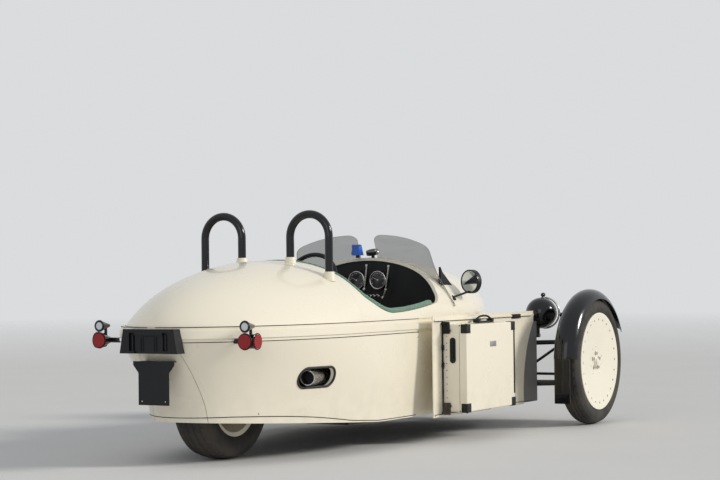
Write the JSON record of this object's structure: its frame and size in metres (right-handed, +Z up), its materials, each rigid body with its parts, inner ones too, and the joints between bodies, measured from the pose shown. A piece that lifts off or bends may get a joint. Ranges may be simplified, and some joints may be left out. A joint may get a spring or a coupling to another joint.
{
  "type": "three wheeled open sports car",
  "caption": "Open car with a domed tail, belt rail, roll hoops, low screens, side blades with hinged hard cases, disc wheels, cycle fenders in front and a wheel under the tail.",
  "frame": {"origin": "middle of the whole car's outline on the ground", "axes": "+X forward, +Y to the car's left, +Z up"},
  "size_m": [3.581, 1.85, 1.1878],
  "materials": {
    "body_cream": "gloss cream paint",
    "wheel_cream": "satin cream paint",
    "gloss_black": "gloss black paint",
    "chassis_black": "satin black powder coat",
    "trim_black": "grained black plastic",
    "seat_black": "black seat hide",
    "cast_metal": "cast aluminium",
    "steel": "brushed steel",
    "smoked_glass": "smoked clear sheet",
    "clear_lens": "clear lens",
    "red_lens": "red lens",
    "duct_grey": "dark grey panel",
    "tyre_black": "black tyre rubber",
    "trim_green": "green padded edge trim",
    "clamp_blue": "blue plastic"
  },
  "bodies": {
    "chassis": {"accessory_clamp": "clamp_blue", "aero_screens": "smoked_glass", "belt_rails": "body_cream", "bonnet": "body_cream", "case_shell_left": "body_cream", "case_shell_right": "body_cream", "centre_mirror": "trim_black", "centre_tunnel": "chassis_black", "cockpit_sides": "body_cream", "cockpit_trim": "trim_green", "dashboard": "trim_black", "door_mirrors": "trim_black", "engine_block": "cast_metal", "exhaust_tip": "steel", "firewall": "chassis_black", "floor_pan": "chassis_black", "front_frame": "cast_metal", "headlamp_lenses": "clear_lens", "headlamps": "gloss_black", "hoop_collars": "body_cream", "lower_wishbones": "chassis_black", "nose_cowl": "body_cream", "nose_grille": "trim_black", "pedals": "chassis_black", "plate_bracket": "trim_black", "pull_rods": "chassis_black", "rack_housing": "chassis_black", "rear_bulkhead": "chassis_black", "rear_deck": "body_cream", "roll_hoops": "gloss_black", "screen_feet": "trim_black", "scuttle": "body_cream", "seat_backs": "seat_black", "seat_cushions": "seat_black", "side_blade_left": "body_cream", "side_blade_right": "body_cream", "side_ducts": "duct_grey", "side_panel_left": "body_cream", "side_panel_right": "body_cream", "swingarm": "chassis_black", "tail_lamps": "gloss_black", "tail_lenses": "red_lens", "tail_pad": "trim_black", "tail_panel": "body_cream", "upper_wishbones": "chassis_black"},
    "left_knuckle": {"upright_left": "chassis_black", "fender_left": "gloss_black"},
    "right_knuckle": {"upright_right": "chassis_black", "fender_right": "gloss_black"},
    "front_left_wheel": {"front_rim_left": "wheel_cream", "front_tyre_left": "tyre_black"},
    "front_right_wheel": {"front_rim_right": "wheel_cream", "front_tyre_right": "tyre_black"},
    "rear_wheel": {"rear_rim": "wheel_cream", "rear_tyre": "tyre_black"},
    "hand_wheel": {"steering_wheel": "trim_black", "steering_column": "chassis_black"},
    "steering_rack_bar": {"steering_rack": "chassis_black"},
    "left_case_door": {"case_lid_left": "body_cream"},
    "right_case_door": {"case_lid_right": "body_cream"}
  },
  "joints": [
    {"name": "left_steer", "type": "hinge", "parent": "chassis", "child": "left_knuckle", "pos_m": [1.3285, 0.786, 0.235], "axis": [-0.0678, -0.0593, 0.9959], "range_deg": [-24, 24]},
    {"name": "right_steer", "type": "hinge", "parent": "chassis", "child": "right_knuckle", "pos_m": [1.3285, -0.786, 0.235], "axis": [-0.0678, 0.0593, 0.9959], "range_deg": [-24, 24]},
    {"name": "front_left_spin", "type": "hinge", "parent": "left_knuckle", "child": "front_left_wheel", "pos_m": [1.3205, 0.854, 0.36], "axis": [0, 1, 0], "continuous": true},
    {"name": "front_right_spin", "type": "hinge", "parent": "right_knuckle", "child": "front_right_wheel", "pos_m": [1.3205, -0.854, 0.36], "axis": [0, 1, 0], "continuous": true},
    {"name": "rear_spin", "type": "hinge", "parent": "chassis", "child": "rear_wheel", "pos_m": [-1.1995, 0, 0.3035], "axis": [0, 1, 0], "continuous": true},
    {"name": "hand_wheel_turn", "type": "hinge", "parent": "chassis", "child": "hand_wheel", "pos_m": [0.0275, 0.236, 0.831], "axis": [-0.9397, 0, 0.342], "range_deg": [-336, 336]},
    {"name": "rack_slide", "type": "slide", "parent": "chassis", "child": "steering_rack_bar", "axis": [0, 1, 0], "range_m": [-0.0469, 0.0469]},
    {"name": "left_case_hinge", "type": "hinge", "parent": "chassis", "child": "left_case_door", "pos_m": [0.549, 0.69675, 0.38], "axis": [0, 0, -1], "range_deg": [0, 100]},
    {"name": "right_case_hinge", "type": "hinge", "parent": "chassis", "child": "right_case_door", "pos_m": [0.549, -0.69675, 0.38], "axis": [0, 0, 1], "range_deg": [0, 100]}
  ],
  "couplings": [
    {"joint": "right_steer", "follows": "left_steer", "ratio": 1},
    {"joint": "hand_wheel_turn", "follows": "left_steer", "ratio": 14},
    {"joint": "rack_slide", "follows": "left_steer", "m_per_rad": 0.11072}
  ]
}
